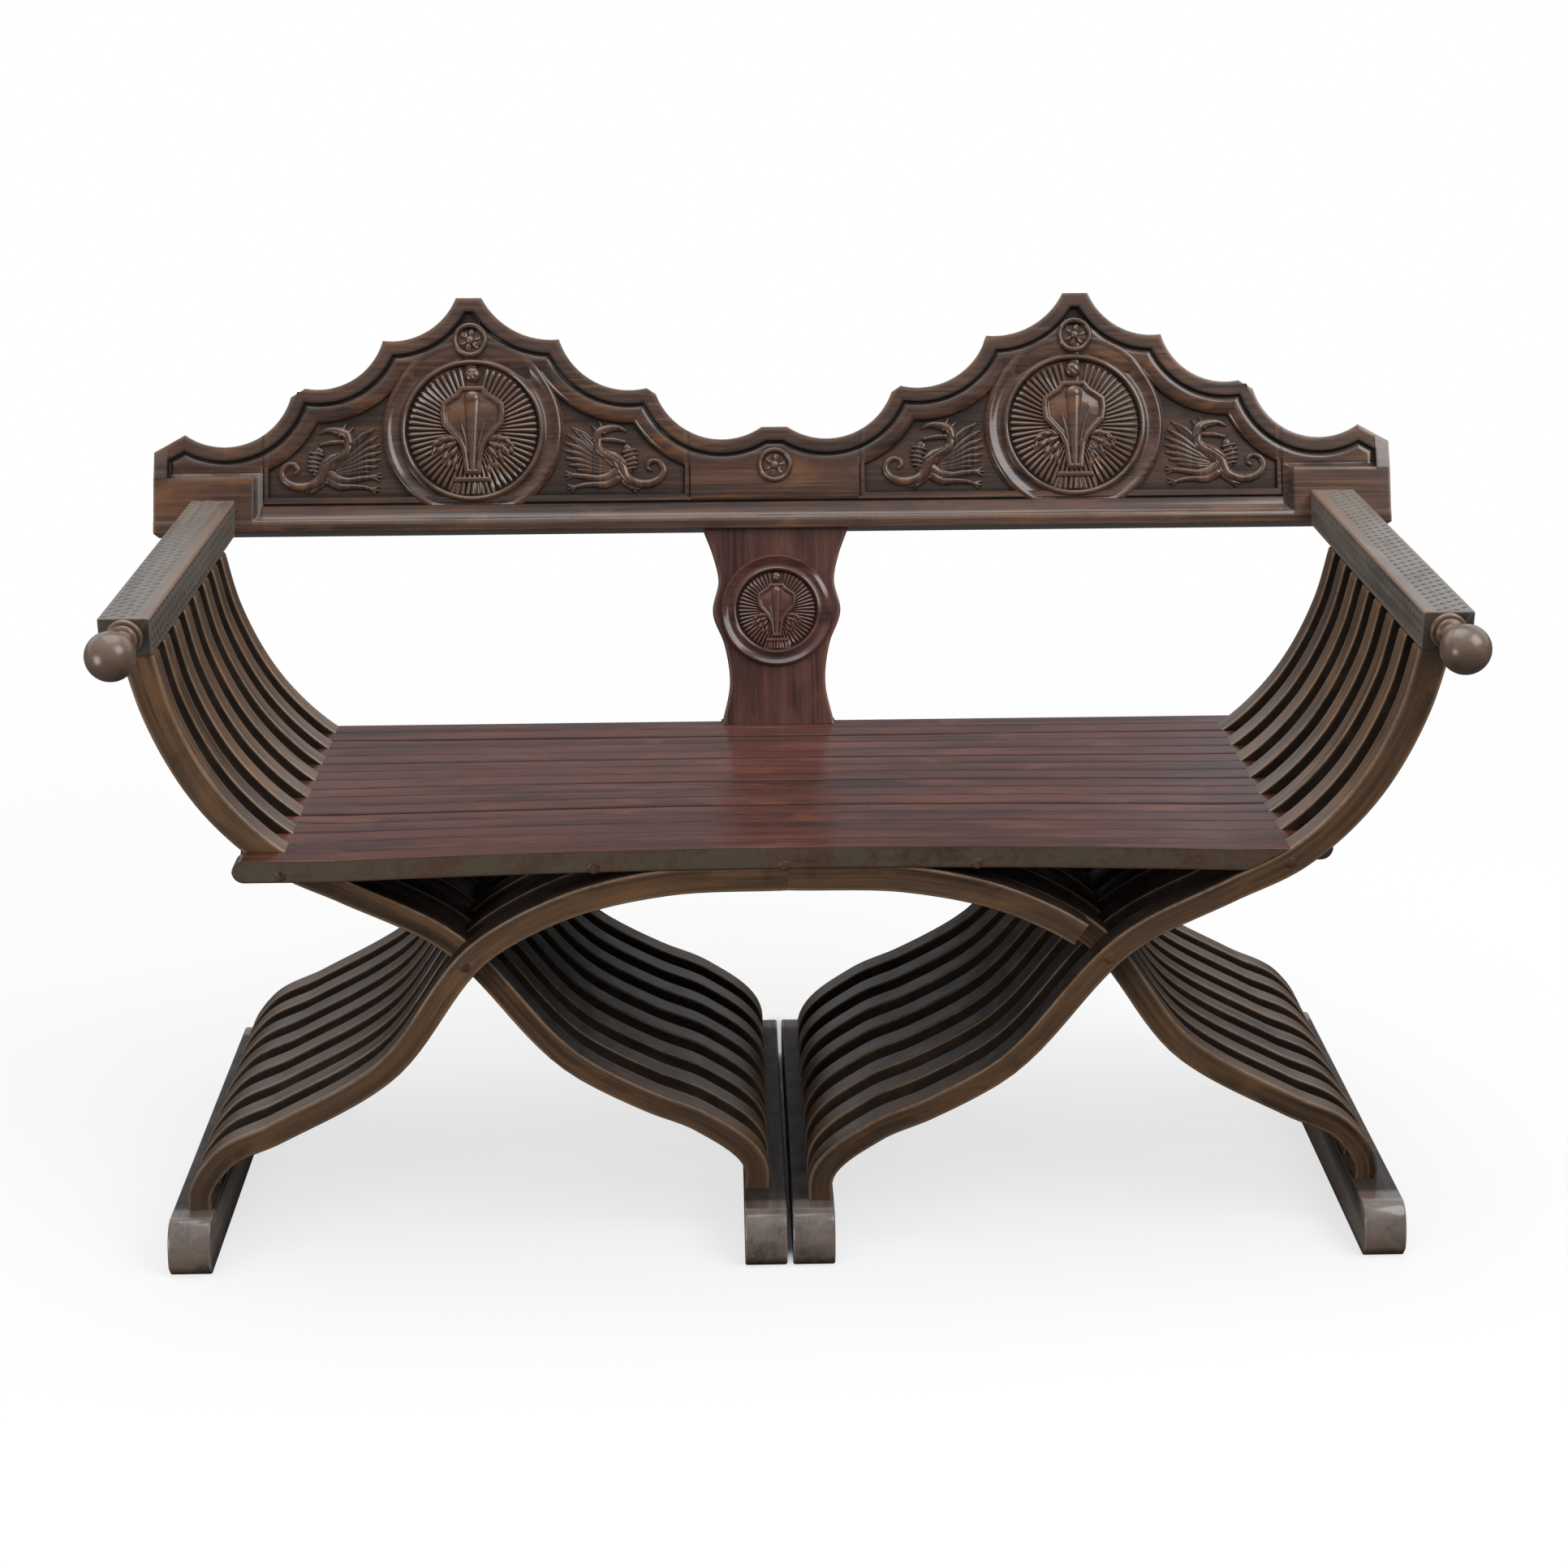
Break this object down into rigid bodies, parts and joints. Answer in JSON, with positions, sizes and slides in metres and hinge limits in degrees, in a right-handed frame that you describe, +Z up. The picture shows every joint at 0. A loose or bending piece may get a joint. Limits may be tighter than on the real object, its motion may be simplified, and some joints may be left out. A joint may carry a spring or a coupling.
{
  "type": "savonarola settee",
  "caption": "Savonarola settee: slatted seat on two interleaved X-frames of S-curved slats, straight arms with ball ends, raked splat and a scalloped, carved crest.",
  "frame": {"origin": "on the floor, at the middle of the settee's width and of its overall depth", "axes": "+X to the viewer's right along the seat, +Y to the back, +Z up"},
  "size_m": [1.454, 0.7376, 0.9221],
  "materials": {
    "slat_walnut": "dark walnut, worn gloss varnish",
    "seat_walnut": "dark red-brown walnut, polished",
    "runner_walnut": "dark walnut, worn gloss varnish",
    "arm_walnut": "dark walnut, chip carved",
    "rod_walnut": "dark walnut, plain",
    "crest_walnut": "dark walnut, carved and varnished",
    "splat_walnut": "dark red-brown walnut, carved"
  },
  "bodies": {
    "root": {"arm_slat_L_1": "slat_walnut", "foot_slat_L_1": "slat_walnut", "arm_slat_L_2": "slat_walnut", "foot_slat_L_2": "slat_walnut", "arm_slat_L_3": "slat_walnut", "foot_slat_L_3": "slat_walnut", "arm_slat_L_4": "slat_walnut", "foot_slat_L_4": "slat_walnut", "arm_slat_L_5": "slat_walnut", "foot_slat_L_5": "slat_walnut", "arm_slat_L_6": "slat_walnut", "foot_slat_L_6": "slat_walnut", "arm_slat_L_7": "slat_walnut", "foot_slat_L_7": "slat_walnut", "arm_slat_L_8": "slat_walnut", "foot_slat_L_8": "slat_walnut", "arm_slat_R_1": "slat_walnut", "foot_slat_R_1": "slat_walnut", "arm_slat_R_2": "slat_walnut", "foot_slat_R_2": "slat_walnut", "arm_slat_R_3": "slat_walnut", "foot_slat_R_3": "slat_walnut", "arm_slat_R_4": "slat_walnut", "foot_slat_R_4": "slat_walnut", "arm_slat_R_5": "slat_walnut", "foot_slat_R_5": "slat_walnut", "arm_slat_R_6": "slat_walnut", "foot_slat_R_6": "slat_walnut", "arm_slat_R_7": "slat_walnut", "foot_slat_R_7": "slat_walnut", "arm_slat_R_8": "slat_walnut", "foot_slat_R_8": "slat_walnut", "seat_slat_01": "seat_walnut", "seat_slat_02": "seat_walnut", "seat_slat_03": "seat_walnut", "seat_slat_04": "seat_walnut", "seat_slat_05": "seat_walnut", "seat_slat_06": "seat_walnut", "seat_slat_07": "seat_walnut", "seat_slat_08": "seat_walnut", "seat_slat_09": "seat_walnut", "seat_slat_10": "seat_walnut", "seat_slat_11": "seat_walnut", "seat_slat_12": "seat_walnut", "seat_slat_13": "seat_walnut", "seat_slat_14": "seat_walnut", "seat_slat_15": "seat_walnut", "seat_slat_16": "seat_walnut", "runner_inner_L": "runner_walnut", "runner_outer_L": "runner_walnut", "arm_L": "arm_walnut", "rod_cross_L": "rod_walnut", "rod_seat_L": "rod_walnut", "runner_inner_R": "runner_walnut", "runner_outer_R": "runner_walnut", "arm_R": "arm_walnut", "rod_cross_R": "rod_walnut", "rod_seat_R": "rod_walnut", "crest_rail": "crest_walnut", "splat": "splat_walnut"}
  },
  "joints": []
}
